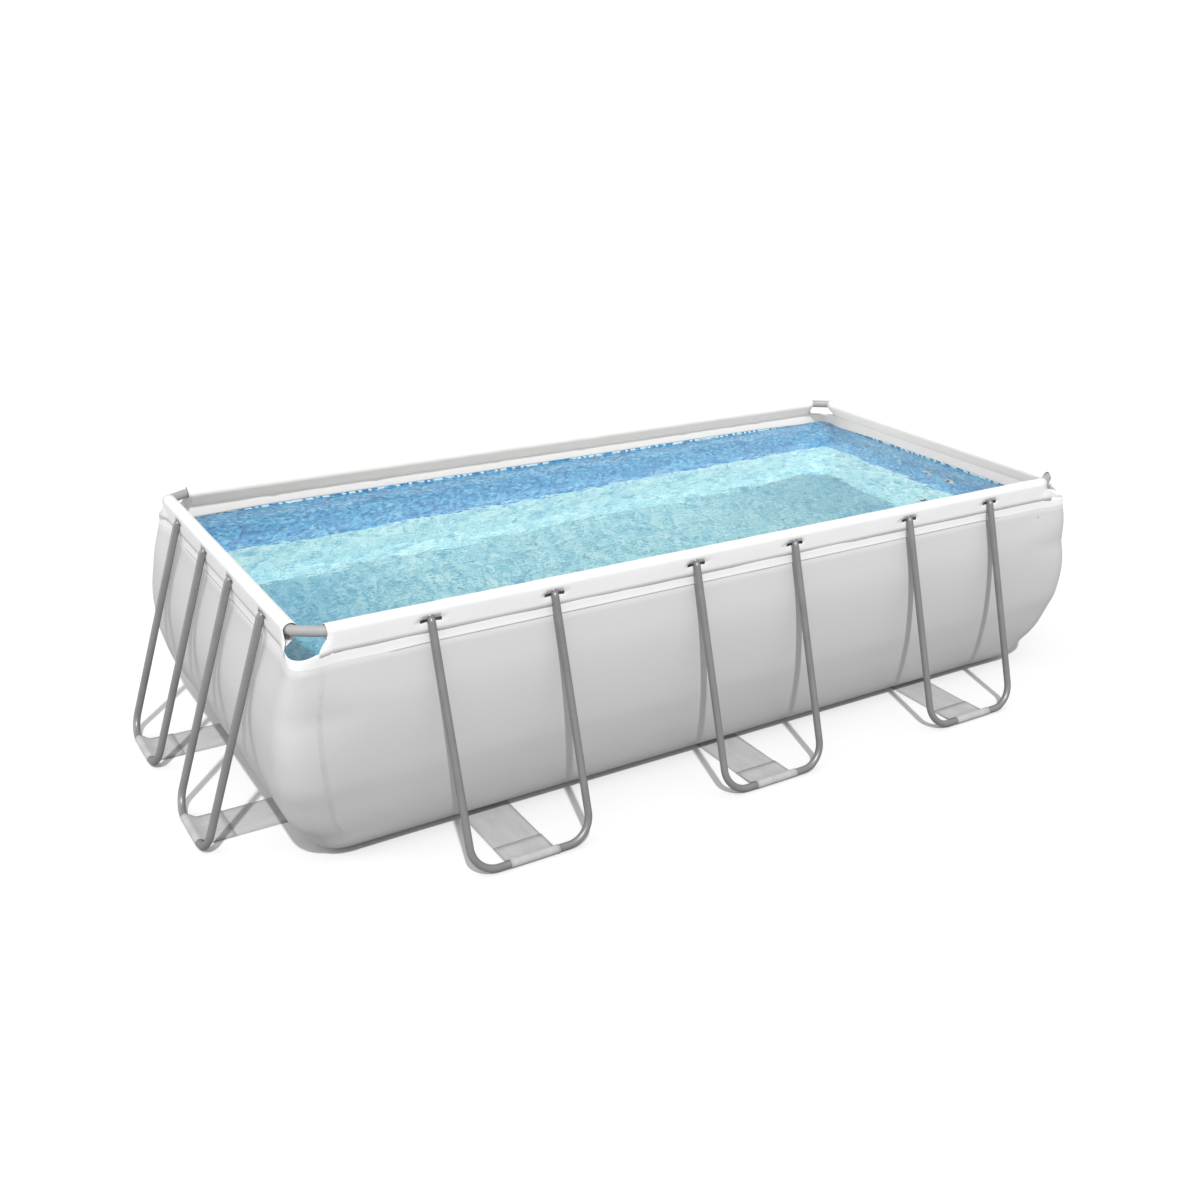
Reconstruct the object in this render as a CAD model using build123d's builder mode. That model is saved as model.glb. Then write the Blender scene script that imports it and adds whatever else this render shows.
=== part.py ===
"""Rectangular steel-frame above-ground pool, as an assembly of separate pieces.

Frame: +X along the length, -Y is the front long side, +Z up. The origin is on the ground at the
centre of the footprint. Every side is described the same way: "along" runs to the right as seen
from outside that side, "out" is the distance outwards from that side's rail centre line.
"""

import math
import os

from build123d import *

os.makedirs("parts", exist_ok=True)

# ---------------------------------------------------------------- driving dimensions, millimetres
RAIL_LENGTH = 3990.0  # rail centre line to rail centre line, along X
RAIL_WIDTH = 1840.0  # rail centre line to rail centre line, along Y
RAIL_HEIGHT = 1015.0  # rail centre line above the ground
RAIL_R = 25.0
RAIL_WALL = 1.0
RAIL_INSERT = 60.0  # length of the swaged end inside the next rail
SLIP = 0.3  # radial room between a tube and what slides into it

JOINT_R = 21.0
JOINT_COLLAR = 9.0  # length of the collar that the rail's end butts against
JOINT_BORE_R = 17.0
JOINT_NECK = 60.0  # length of each neck inside a rail
JOINT_BEND_R = 30.0

LEG_R = 16.0
LEG_WALL = 1.0
LEG_FOOT_OUT = 341.0  # bottom bar centre line, outwards from the rail
LEG_KNEE = (33.0, 978.0)  # (out, height) of the slight bend inside the sleeve
LEG_KNEE_R = 25.0
STUB_R = 14.7
STUB_WALL = 1.0
STUB_START = 17.0  # inside the rail wall, so that stub and rail are one welded piece
STUB_END = 44.0  # from the rail axis
LEG_START = 30.0

STRAP_T = 2.0
STRAP_WIDTH = 220.0
STRAP_GAP = 0.2  # free space between two straps that cross
LOOP_BORE_R = 16.3

SHEET_T = 3.0
FLOOR_Z = 2 * STRAP_T + 2 * STRAP_GAP
SLEEVE_R = 29.0
WELD_Z = 945.0  # the sleeve's two flaps are welded together here
BAND_BOTTOM_Z = 897.0
NOTCH_Z = 922.0  # the corner panel's top edge, under the corner joint
BAND_OUT = 18.0
SEAM = 100.0  # the corner panels start this far from the sharp corner
SLOT_WIDTH = 94.0
SLOT_HEIGHT = 20.0
SLOT_Z = 982.0
LEG_CLEAR = 2.0  # free space between a leg and the sheet it passes through

# (height, out on the short sides, out on the long sides, corner radius, sheet inset)
LINER_LEVELS = [
    (FLOOR_Z, -92, -145, 90, 8),
    (25, -62, -88, 105, 6),
    (70, -28, -38, 125, 4.5),
    (190, 55, 14, 130, 3.5),
    (330, 103, 52, 130, 3),
    (420, 118, 68, 125, 3),
    (580, 118, 76, 105, 3),
    (720, 86, 68, 82, 3),
    (840, 42, 39, 58, 3),
    (BAND_BOTTOM_Z, BAND_OUT + 1, BAND_OUT + 1, 45, 3),
    (WELD_Z, BAND_OUT, BAND_OUT, 45, 3),
]

# support frames on one long side and one short side: (name, centre along the side)
LONG_SUPPORTS = [("left", -1220.0), ("middle", 0.0), ("right", 1220.0)]
SHORT_SUPPORTS = [("left", -390.0), ("right", 390.0)]

# width and corner: the size and bend of a side's supports. The rest are distances from the sharp
# corner: cut, where the corner joint leaves the rail line; joint_end, where its collar ends and the
# rail starts; pocket_end, where the sleeve's pocket ends.
LONG_SIDE = {"width": 533.0, "corner": 110.0, "cut": 100.0, "joint_end": 128.0, "pocket_end": 104.0}
SHORT_SIDE = {"width": 411.0, "corner": 90.0, "cut": 62.0, "joint_end": 96.0, "pocket_end": 72.0}

UP = Vector(0, 0, 1)
# side: (along, out, distance of the rail from the centre, rail length, supports, side's sizes)
SIDES = {
    "front": (Vector(1, 0, 0), Vector(0, -1, 0), RAIL_WIDTH / 2, RAIL_LENGTH, LONG_SUPPORTS, LONG_SIDE),
    "back": (Vector(-1, 0, 0), Vector(0, 1, 0), RAIL_WIDTH / 2, RAIL_LENGTH, LONG_SUPPORTS, LONG_SIDE),
    "left": (Vector(0, -1, 0), Vector(-1, 0, 0), RAIL_LENGTH / 2, RAIL_WIDTH, SHORT_SUPPORTS, SHORT_SIDE),
    "right": (Vector(0, 1, 0), Vector(1, 0, 0), RAIL_LENGTH / 2, RAIL_WIDTH, SHORT_SUPPORTS, SHORT_SIDE),
}

FOOT_Z = LOOP_BORE_R + STRAP_T  # bottom bar centre line, lying in the strap's loop
KNEE_OUT, KNEE_Z = LEG_KNEE
TOP_DIRECTION_OUT = KNEE_OUT / math.hypot(KNEE_OUT, RAIL_HEIGHT - KNEE_Z)
TOP_DIRECTION_UP = (KNEE_Z - RAIL_HEIGHT) / math.hypot(KNEE_OUT, RAIL_HEIGHT - KNEE_Z)


def save(part, name):
    """Labels a finished piece and writes its STEP file."""
    part.label = name
    export_step(part, f"parts/{name}.step")


def at(side, along, out, z):
    """A point given by its place along a side, its distance out from the rail and its height."""
    along_dir, out_dir, distance = SIDES[side][:3]
    return along_dir * along + out_dir * (distance + out) + UP * z


def across(side, along):
    """The plane across a side: its x is the distance out, its y the height, and it faces back along."""
    return Plane(origin=at(side, along, 0, 0), x_dir=SIDES[side][1], z_dir=-SIDES[side][0])


def leg_positions(side):
    """Where the side's legs stand along it."""
    half = SIDES[side][5]["width"] / 2
    return [centre + sign * half for _, centre in SIDES[side][4] for sign in (-1, 1)]


def leg_top_plane(side, along):
    """The plane at the rail's axis that faces along a leg's upper end."""
    direction = SIDES[side][1] * TOP_DIRECTION_OUT + UP * TOP_DIRECTION_UP
    return Plane(origin=at(side, along, 0, RAIL_HEIGHT), x_dir=SIDES[side][0], z_dir=direction)


def leg_knee_plane(side, along):
    """The plane at a leg's knee that faces down along the leg."""
    direction = SIDES[side][1] * (LEG_FOOT_OUT - KNEE_OUT) + UP * (FOOT_Z - KNEE_Z)
    return Plane(origin=at(side, along, KNEE_OUT, KNEE_Z), x_dir=SIDES[side][0], z_dir=direction)


# ---------------------------------------------------------------- frame
def rail_breaks(side):
    """The ends of the side's rails: at the corner joints, and half way between supports."""
    length, supports = SIDES[side][3], SIDES[side][4]
    end = length / 2 - SIDES[side][5]["joint_end"]
    middles = [(a[1] + b[1]) / 2 for a, b in zip(supports, supports[1:])]
    return [-end, *middles, end]


PIN_R = 4.0
PIN_PROUD = 0.5
PIN_LENGTH = 8.0
PIN_SLIP = 0.1


def pin_places():
    """Where the rail pins sit: under every rail end that has another piece inside it."""
    places = []
    for side in SIDES:
        breaks = rail_breaks(side)
        along = [breaks[0] + RAIL_INSERT / 2, breaks[-1] - RAIL_INSERT / 2]
        along += [middle + RAIL_INSERT / 2 for middle in breaks[1:-1]]
        places += [at(side, s, 0, RAIL_HEIGHT - RAIL_R) for s in along]
    return places


def rail_pins(radius=PIN_R):
    """All the push-in pins, under the rails. A larger radius gives their holes."""
    with BuildPart() as pins:
        for point in pin_places():
            with BuildSketch(Plane(origin=point - UP * PIN_PROUD, z_dir=UP)):
                Circle(radius)
            extrude(amount=PIN_LENGTH)
    return pins.part


def tube(plane, outer, bore, length):
    """A straight tube from a plane along its normal."""
    with BuildPart() as straight:
        with BuildSketch(plane):
            Circle(outer)
            Circle(bore, mode=Mode.SUBTRACT)
        extrude(amount=length)
    return straight.part


def rail_piece(side, index):
    """One rail tube with its two welded leg stubs and a swaged end for the next rail."""
    breaks = rail_breaks(side)
    start, end = breaks[index], breaks[index + 1]
    is_last = index == len(breaks) - 2
    bore = RAIL_R - RAIL_WALL
    insert = bore - SLIP
    begin = Plane(origin=at(side, start, 0, RAIL_HEIGHT), z_dir=SIDES[side][0])
    finish = Plane(origin=at(side, end, 0, RAIL_HEIGHT), z_dir=SIDES[side][0])
    legs = [leg for leg in leg_positions(side) if start < leg < end]
    with BuildPart() as rail:
        with BuildSketch(begin):
            Circle(RAIL_R)
        extrude(amount=end - start)
        for leg in legs:
            with BuildSketch(leg_top_plane(side, leg).offset(STUB_START)):
                Circle(STUB_R)
            extrude(amount=STUB_END - STUB_START)
        with BuildSketch(begin):
            Circle(bore)
        extrude(amount=end - start, mode=Mode.SUBTRACT)
        for leg in legs:
            with BuildSketch(leg_top_plane(side, leg).offset(RAIL_R + 1)):
                Circle(STUB_R - STUB_WALL)
            extrude(amount=STUB_END, mode=Mode.SUBTRACT)
        if not is_last:
            add(tube(finish.offset(-RAIL_INSERT / 2), bore, insert - RAIL_WALL, RAIL_INSERT / 2))
            add(tube(finish, insert, insert - RAIL_WALL, RAIL_INSERT))
        add(rail_pins(PIN_R + PIN_SLIP), mode=Mode.SUBTRACT)
    return rail.part


def corner_joint(x_sign, y_sign):
    """A hollow moulded elbow across one corner, with a collar and a neck at each end."""
    x, y = x_sign * RAIL_LENGTH / 2, y_sign * RAIL_WIDTH / 2
    points = [
        (x - x_sign * LONG_SIDE["joint_end"], y, RAIL_HEIGHT),
        (x - x_sign * LONG_SIDE["cut"], y, RAIL_HEIGHT),
        (x, y - y_sign * SHORT_SIDE["cut"], RAIL_HEIGHT),
        (x, y - y_sign * SHORT_SIDE["joint_end"], RAIL_HEIGHT),
    ]
    first = Plane(origin=points[0], z_dir=(-x_sign, 0, 0))
    last = Plane(origin=points[3], z_dir=(0, -y_sign, 0))
    neck_r = RAIL_R - RAIL_WALL - SLIP
    with BuildPart() as joint:
        with BuildLine() as path:
            FilletPolyline(*points, radius=JOINT_BEND_R)
        with BuildSketch(Plane(origin=points[0], z_dir=(x_sign, 0, 0))):
            Circle(JOINT_R)
            Circle(JOINT_BORE_R, mode=Mode.SUBTRACT)
        sweep(path=path.line)
        for end in (first, last):
            add(tube(end.offset(-JOINT_COLLAR), RAIL_R, JOINT_BORE_R, JOINT_COLLAR))
            add(tube(end, neck_r, JOINT_BORE_R, JOINT_NECK))
        add(rail_pins(PIN_R + PIN_SLIP), mode=Mode.SUBTRACT)
    return joint.part


def support_path(side, centre):
    """The corners of one U-shaped support's centre line, from one rail stub to the other."""
    half = SIDES[side][5]["width"] / 2
    left, right = centre - half, centre + half
    start_out = LEG_START * TOP_DIRECTION_OUT
    start_z = RAIL_HEIGHT + LEG_START * TOP_DIRECTION_UP
    return [
        at(side, left, start_out, start_z),
        at(side, left, KNEE_OUT, KNEE_Z),
        at(side, left, LEG_FOOT_OUT, FOOT_Z),
        at(side, right, LEG_FOOT_OUT, FOOT_Z),
        at(side, right, KNEE_OUT, KNEE_Z),
        at(side, right, start_out, start_z),
    ]


def side_support(side, centre):
    """One U-shaped support: a bent tube from rail stub to ground and back."""
    corner = SIDES[side][5]["corner"]
    points = support_path(side, centre)
    with BuildPart() as support:
        with BuildLine() as path:
            FilletPolyline(*points, radius=[LEG_KNEE_R, corner, corner, LEG_KNEE_R])
        with BuildSketch(Plane(origin=points[0], z_dir=points[1] - points[0])):
            Circle(LEG_R)
            Circle(LEG_R - LEG_WALL, mode=Mode.SUBTRACT)
        sweep(path=path.line)
    return support.part


# ---------------------------------------------------------------- ground straps
def strap(side, centre, raised):
    """One strap under the pool from a support to the one opposite, with a loop round each bar.

    raised lists (out, height) corners of the strap's underside between the loops, on the near half.
    """
    distance = SIDES[side][2]
    loop_r = LOOP_BORE_R + STRAP_T
    bar = distance + LEG_FOOT_OUT
    near = [(bar, 0.0), *raised]
    under = near + [(-x, z) for x, z in reversed(near)]
    over = [(x, z + STRAP_T) for x, z in reversed(under)]
    middle = Plane(origin=SIDES[side][0] * centre, x_dir=SIDES[side][1], z_dir=-SIDES[side][0])
    with BuildPart() as band:
        with BuildSketch(middle):
            with BuildLine():
                Polyline(*under, *over, close=True)
            make_face()
            with Locations((bar, loop_r), (-bar, loop_r)):
                Circle(loop_r)
                Circle(LOOP_BORE_R, mode=Mode.SUBTRACT)
        extrude(amount=STRAP_WIDTH / 2, both=True)
    return band.part


# ---------------------------------------------------------------- liner
def liner_shell():
    """The liner's whole wall, floor edge to weld line, as one thin shell."""
    with BuildPart() as outside:
        for z, out_x, out_y, radius, _ in LINER_LEVELS:
            with BuildSketch(Plane.XY.offset(z)):
                RectangleRounded(RAIL_LENGTH + 2 * out_x, RAIL_WIDTH + 2 * out_y, radius)
        loft(ruled=True)
    with BuildPart() as inside:
        for z, out_x, out_y, radius, inset in LINER_LEVELS:
            with BuildSketch(Plane.XY.offset(z)):
                RectangleRounded(
                    RAIL_LENGTH + 2 * (out_x - inset),
                    RAIL_WIDTH + 2 * (out_y - inset),
                    radius - inset,
                )
        loft(ruled=True)
    with BuildPart() as shell:
        add(outside.part)
        add(inside.part, mode=Mode.SUBTRACT)
    return shell.part


def panel(shell, low, high):
    """The part of the liner's wall inside one upright box."""
    size = [b - a for a, b in zip(low, high)]
    centre = [(a + b) / 2 for a, b in zip(low, high)]
    with BuildPart() as piece:
        add(shell)
        with Locations(tuple(centre)):
            Box(*size, mode=Mode.INTERSECT)
    return piece.part


def floor_sheet():
    """The flat floor sheet inside the wall's lower edge."""
    _, out_x, out_y, radius, inset = LINER_LEVELS[0]
    with BuildPart() as floor:
        with BuildSketch(Plane.XY.offset(FLOOR_Z)):
            RectangleRounded(
                RAIL_LENGTH + 2 * (out_x - inset),
                RAIL_WIDTH + 2 * (out_y - inset),
                radius - inset,
            )
        extrude(amount=SHEET_T)
    return floor.part


def sleeve(side):
    """The top band of one side: a pocket round the rails and the strip below its weld."""
    half = SIDES[side][3] / 2
    seam, pocket = half - SEAM, half - SIDES[side][5]["pocket_end"]
    weld = WELD_Z - RAIL_HEIGHT
    inner_r = SLEEVE_R - SHEET_T
    with BuildPart() as band:
        with BuildSketch(across(side, 0)):
            with BuildSketch(across(side, 0), mode=Mode.PRIVATE) as outer:
                with Locations((0, RAIL_HEIGHT)):
                    Circle(SLEEVE_R)
                with Locations((BAND_OUT - SHEET_T, RAIL_HEIGHT + weld)):
                    Rectangle(2 * SHEET_T, SHEET_T)
                make_hull()
            with BuildSketch(across(side, 0), mode=Mode.PRIVATE) as inner:
                with Locations((0, RAIL_HEIGHT)):
                    Circle(inner_r)
                with Locations((BAND_OUT - SHEET_T - 1, RAIL_HEIGHT + weld + 2 * SHEET_T)):
                    Rectangle(1, 1)
                make_hull()
            add(outer.sketch_local)
            add(inner.sketch_local, mode=Mode.SUBTRACT)
        extrude(amount=pocket, both=True)
        with BuildSketch(across(side, 0)):
            with Locations((BAND_OUT - SHEET_T, BAND_BOTTOM_Z)):
                Rectangle(SHEET_T, WELD_Z - BAND_BOTTOM_Z, align=(Align.MIN, Align.MIN))
        extrude(amount=seam, both=True)
        for leg in leg_positions(side):
            with BuildSketch(leg_top_plane(side, leg)):
                Circle(LEG_R + LEG_CLEAR)
            extrude(amount=90, mode=Mode.SUBTRACT)
            with BuildSketch(leg_knee_plane(side, leg)):
                Circle(LEG_R + LEG_CLEAR)
            extrude(amount=60, mode=Mode.SUBTRACT)
            with BuildSketch(across(side, leg - SLOT_WIDTH / 2)):
                with Locations((BAND_OUT, SLOT_Z)):
                    Rectangle(SLEEVE_R, SLOT_HEIGHT, align=(Align.MIN, Align.CENTER))
            extrude(amount=-SLOT_WIDTH, mode=Mode.SUBTRACT)
    return band.part


# ---------------------------------------------------------------- fittings on the right-hand end
WALL_X = RAIL_LENGTH / 2 + 118  # the wall's flat outer face at the pump ports
PORT_Z = 500.0
PORT_Y = 85.0
PORT_THREAD_R = 20.0
PORT_BORE_R = 13.0
PORT_FLANGE_R = 32.0
HOSE_R = 16.0
HOSE_LENGTH = 38.0
GASKET_T = 1.5
FLANGE_T = 4.0
STOPPER_RIM_R = 18.0
STOPPER_RIM_T = 4.0
STOPPER_LENGTH = 22.0
STOPPER_GRIP_R = 5.0
STOPPER_GRIP = 12.0
NUT_T = 10.0
NUT_R = 29.0
PORT_CLEAR = 0.3
SEAT_GAP = 0.3

_low, _high = LINER_LEVELS[2], LINER_LEVELS[3]
DRAIN_TILT = math.degrees(math.atan2(_high[1] - _low[1], _high[0] - _low[0]))
DRAIN_FACE = Vector(RAIL_LENGTH / 2 + (_low[1] + _high[1]) / 2, 0, (_low[0] + _high[0]) / 2)
DRAIN_AXIS = Vector(math.cos(math.radians(DRAIN_TILT)), 0, -math.sin(math.radians(DRAIN_TILT)))
DRAIN_THREAD_R = 13.0
DRAIN_BORE_R = 9.0
DRAIN_FLANGE_R = 28.0
CAP_GRIP = 12.0  # thread length under the cap
CAP_WALL = 3.5
SEAL_T = 2.0
DRAIN_TAIL = 17.0  # the body reaches this far inside the wall
DRAIN_NECK = 8.0  # thread left free between the flange and the cap
PLUG_LENGTH = 16.0
PLUG_RIM_T = 4.0
PLUG_GRIP = 10.0
PLUG_GRIP_R = 4.0


def turned(plane, steps):
    """A turned piece: rings (start, end, outer radius, bore radius) along a plane's normal."""
    with BuildPart() as piece:
        for start, end, outer, bore in steps:
            with BuildSketch(plane.offset(start)):
                Circle(outer)
                if bore:
                    Circle(bore, mode=Mode.SUBTRACT)
            extrude(amount=end - start)
    return piece.part


def ribbed(part, plane, start, end, radius, count):
    """The same piece with grip grooves round its rim."""
    with BuildPart() as grip:
        add(part)
        with BuildSketch(plane.offset(start)):
            with PolarLocations(radius, count):
                Circle(1.6)
        extrude(amount=end - start, mode=Mode.SUBTRACT)
    return grip.part


def port_pieces(label, y):
    """One pump port: body with hose spigot, gasket, ring nut, and the stopper in its mouth."""
    plane = Plane(origin=(WALL_X, y, PORT_Z), z_dir=(1, 0, 0))
    back = -SHEET_T - GASKET_T
    shoulder = NUT_T + 6
    clear_r = PORT_THREAD_R + PORT_CLEAR
    body = turned(
        plane,
        [
            (back - FLANGE_T, back, PORT_FLANGE_R, PORT_BORE_R),
            (back, shoulder, PORT_THREAD_R, PORT_BORE_R),
            (shoulder, shoulder + HOSE_LENGTH, HOSE_R, PORT_BORE_R),
        ],
    )
    nut = turned(plane, [(0, NUT_T, NUT_R, clear_r)])
    mouth = back - FLANGE_T - SEAT_GAP
    stopper = turned(
        plane,
        [
            (mouth - STOPPER_RIM_T, mouth, STOPPER_RIM_R, 0),
            (mouth, mouth + STOPPER_LENGTH, PORT_BORE_R - PORT_CLEAR, 0),
            (mouth - STOPPER_RIM_T - STOPPER_GRIP, mouth - STOPPER_RIM_T, STOPPER_GRIP_R, 0),
        ],
    )
    save(body, f"pump_port_{label}")
    save(turned(plane, [(back, -SHEET_T, PORT_FLANGE_R, clear_r)]), f"port_gasket_{label}")
    save(ribbed(nut, plane, 0, NUT_T, NUT_R, 18), f"port_nut_{label}")
    save(stopper, f"port_stopper_{label}")


def drain_pieces():
    """The drain valve low on the wall: body, gasket, screw cap with its seal, and inner plug."""
    plane = Plane(origin=DRAIN_FACE, x_dir=(0, 1, 0), z_dir=DRAIN_AXIS)
    seat = FLANGE_T + GASKET_T
    mouth = seat + CAP_GRIP + DRAIN_NECK
    body = turned(
        plane,
        [
            (-DRAIN_TAIL, GASKET_T, DRAIN_THREAD_R, DRAIN_BORE_R),
            (GASKET_T, seat, DRAIN_FLANGE_R, DRAIN_BORE_R),
            (seat, mouth, DRAIN_THREAD_R, DRAIN_BORE_R),
        ],
    )
    under_roof = mouth + SEAT_GAP + SEAL_T
    seal = turned(plane, [(mouth + SEAT_GAP, under_roof, DRAIN_THREAD_R, 0)])
    roof = under_roof + SEAT_GAP
    cap_r = DRAIN_THREAD_R + PORT_CLEAR + CAP_WALL
    cap = turned(
        plane,
        [
            (mouth - CAP_GRIP, roof, cap_r, DRAIN_THREAD_R + PORT_CLEAR),
            (roof, roof + CAP_WALL, cap_r, 0),
        ],
    )
    tail = -DRAIN_TAIL - SEAT_GAP
    plug = turned(
        plane,
        [
            (tail - PLUG_RIM_T, tail, DRAIN_THREAD_R + 2, 0),
            (tail, tail + PLUG_LENGTH, DRAIN_BORE_R - PORT_CLEAR, 0),
            (tail - PLUG_RIM_T - PLUG_GRIP, tail - PLUG_RIM_T, PLUG_GRIP_R, 0),
        ],
    )
    save(body, "drain_body")
    save(turned(plane, [(0, GASKET_T, DRAIN_FLANGE_R, DRAIN_THREAD_R + PORT_CLEAR)]), "drain_gasket")
    save(seal, "drain_cap_seal")
    save(ribbed(cap, plane, mouth - CAP_GRIP, roof + CAP_WALL, cap_r, 16), "drain_cap")
    save(plug, "drain_plug")


def with_port_holes(wall):
    """The right-hand wall with its two port holes and its drain hole."""
    drain = Plane(origin=DRAIN_FACE, x_dir=(0, 1, 0), z_dir=DRAIN_AXIS)
    with BuildPart() as holed:
        add(wall)
        for y in (-PORT_Y, PORT_Y):
            with BuildSketch(Plane(origin=(WALL_X, y, PORT_Z), z_dir=(1, 0, 0)).offset(-20)):
                Circle(PORT_THREAD_R + PORT_CLEAR)
            extrude(amount=40, mode=Mode.SUBTRACT)
        with BuildSketch(drain.offset(-20)):
            Circle(DRAIN_THREAD_R + PORT_CLEAR)
        extrude(amount=40, mode=Mode.SUBTRACT)
    return holed.part


# ---------------------------------------------------------------- build and write
for side, (_, _, _, _, supports, _) in SIDES.items():
    for index, (name, centre) in enumerate(supports):
        save(rail_piece(side, index), f"rail_{side}_{name}")
        save(side_support(side, centre), f"support_{side}_{name}")
    save(sleeve(side), f"sleeve_{side}")

for x_sign, x_name in ((-1, "left"), (1, "right")):
    for y_sign, y_name in ((-1, "front"), (1, "back")):
        save(corner_joint(x_sign, y_sign), f"corner_joint_{y_name}_{x_name}")
save(rail_pins(), "rail_pins")

# The cross straps step over the long straps, which lie flat on the ground.
step_in = SHORT_SUPPORTS[1][1] + STRAP_WIDTH / 2 + 20
CROSS_RISE = [(step_in + 60, 0.0), (step_in, STRAP_T + STRAP_GAP)]
for name, centre in LONG_SUPPORTS:
    save(strap("front", centre, CROSS_RISE), f"strap_across_{name}")
for name, centre in (("front", SHORT_SUPPORTS[0][1]), ("back", SHORT_SUPPORTS[1][1])):
    save(strap("right", centre, []), f"strap_along_{name}")

shell = liner_shell()
REACH_X, REACH_Y = RAIL_LENGTH / 2 + 300, RAIL_WIDTH / 2 + 300
SEAM_X, SEAM_Y = RAIL_LENGTH / 2 - SEAM, RAIL_WIDTH / 2 - SEAM
save(panel(shell, (-SEAM_X, -REACH_Y, 0), (SEAM_X, 0, BAND_BOTTOM_Z)), "wall_front")
save(panel(shell, (-SEAM_X, 0, 0), (SEAM_X, REACH_Y, BAND_BOTTOM_Z)), "wall_back")
save(panel(shell, (-REACH_X, -SEAM_Y, 0), (-SEAM_X, SEAM_Y, BAND_BOTTOM_Z)), "wall_left")
save(with_port_holes(panel(shell, (SEAM_X, -SEAM_Y, 0), (REACH_X, SEAM_Y, BAND_BOTTOM_Z))), "wall_right")
save(panel(shell, (-REACH_X, -REACH_Y, 0), (-SEAM_X, -SEAM_Y, NOTCH_Z)), "wall_corner_front_left")
save(panel(shell, (SEAM_X, -REACH_Y, 0), (REACH_X, -SEAM_Y, NOTCH_Z)), "wall_corner_front_right")
save(panel(shell, (-REACH_X, SEAM_Y, 0), (-SEAM_X, REACH_Y, NOTCH_Z)), "wall_corner_back_left")
save(panel(shell, (SEAM_X, SEAM_Y, 0), (REACH_X, REACH_Y, NOTCH_Z)), "wall_corner_back_right")
save(floor_sheet(), "floor_sheet")

port_pieces("inlet", PORT_Y)
port_pieces("outlet", -PORT_Y)
drain_pieces()
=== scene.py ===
import math

import bpy
from mathutils import Matrix, Vector, noise


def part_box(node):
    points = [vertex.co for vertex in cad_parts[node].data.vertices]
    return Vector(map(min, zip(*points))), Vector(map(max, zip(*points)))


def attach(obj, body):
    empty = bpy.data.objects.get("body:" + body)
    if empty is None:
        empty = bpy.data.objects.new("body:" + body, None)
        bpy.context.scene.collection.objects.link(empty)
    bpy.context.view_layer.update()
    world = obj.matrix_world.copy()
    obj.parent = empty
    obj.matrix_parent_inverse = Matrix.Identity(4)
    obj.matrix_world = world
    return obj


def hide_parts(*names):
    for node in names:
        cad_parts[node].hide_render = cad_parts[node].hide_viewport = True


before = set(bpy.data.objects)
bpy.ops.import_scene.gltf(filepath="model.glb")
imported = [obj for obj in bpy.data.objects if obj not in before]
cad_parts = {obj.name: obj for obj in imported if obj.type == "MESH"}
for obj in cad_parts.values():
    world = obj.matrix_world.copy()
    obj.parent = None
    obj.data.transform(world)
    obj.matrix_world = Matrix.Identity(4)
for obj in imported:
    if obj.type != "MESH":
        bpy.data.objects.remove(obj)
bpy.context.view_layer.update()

SCENE = bpy.context.scene
UP = Vector((0, 0, 1))


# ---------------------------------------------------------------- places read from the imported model
def node_box(name):
    low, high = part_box(name)
    return Vector(low), Vector(high)


_low, _high = node_box("corner_joint_front_left")
LIP_R = (_high.z - _low.z) / 2
RAIL_Z = (_high.z + _low.z) / 2
HALF_X = -_low.x - LIP_R
HALF_Y = -_low.y - LIP_R
_low, _high = node_box("sleeve_front")
BAND_BOTTOM = _low.z
SLEEVE_R = _high.z - RAIL_Z
WELD_Z = BAND_BOTTOM + 0.048
BAND_OUT = 0.024
SHEET = 0.0012
WELD_LOW_Z = 0.29

# side: (along, out, distance of the rail from the centre, half length of the side)
SIDES = {
    "front": (Vector((1, 0, 0)), Vector((0, -1, 0)), HALF_Y, HALF_X),
    "right": (Vector((0, 1, 0)), Vector((1, 0, 0)), HALF_X, HALF_Y),
    "back": (Vector((-1, 0, 0)), Vector((0, 1, 0)), HALF_Y, HALF_X),
    "left": (Vector((0, -1, 0)), Vector((-1, 0, 0)), HALF_X, HALF_Y),
}
SUPPORTS = {
    "front": ("left", "middle", "right"),
    "back": ("left", "middle", "right"),
    "left": ("left", "right"),
    "right": ("left", "right"),
}
LEG_R = 0.016
KNEE_OUT, KNEE_Z = 0.033, 0.978


def at(side, s, out, z):
    """The point at s along a side, out from its rail's line, at height z."""
    along, outwards, distance, _ = SIDES[side]
    return along * s + outwards * (distance + out) + UP * z


def support_places(side, name):
    """(centre along the side, half the width between leg centres, bar's place outwards, bar's height)."""
    low, high = node_box(f"support_{side}_{name}")
    along, outwards, distance, _ = SIDES[side]
    ends = sorted((low.dot(along), high.dot(along)))
    out = max(low.dot(outwards), high.dot(outwards)) - distance - LEG_R
    return sum(ends) / 2, (ends[1] - ends[0]) / 2 - LEG_R, out, low.z + LEG_R


def leg_places(side):
    places = []
    for name in SUPPORTS[side]:
        centre, half, _, _ = support_places(side, name)
        places += [centre - half, centre + half]
    return sorted(places)


# ---------------------------------------------------------------- small helpers
def smooth(t):
    t = min(max(t, 0.0), 1.0)
    return t * t * (3 - 2 * t)


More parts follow.
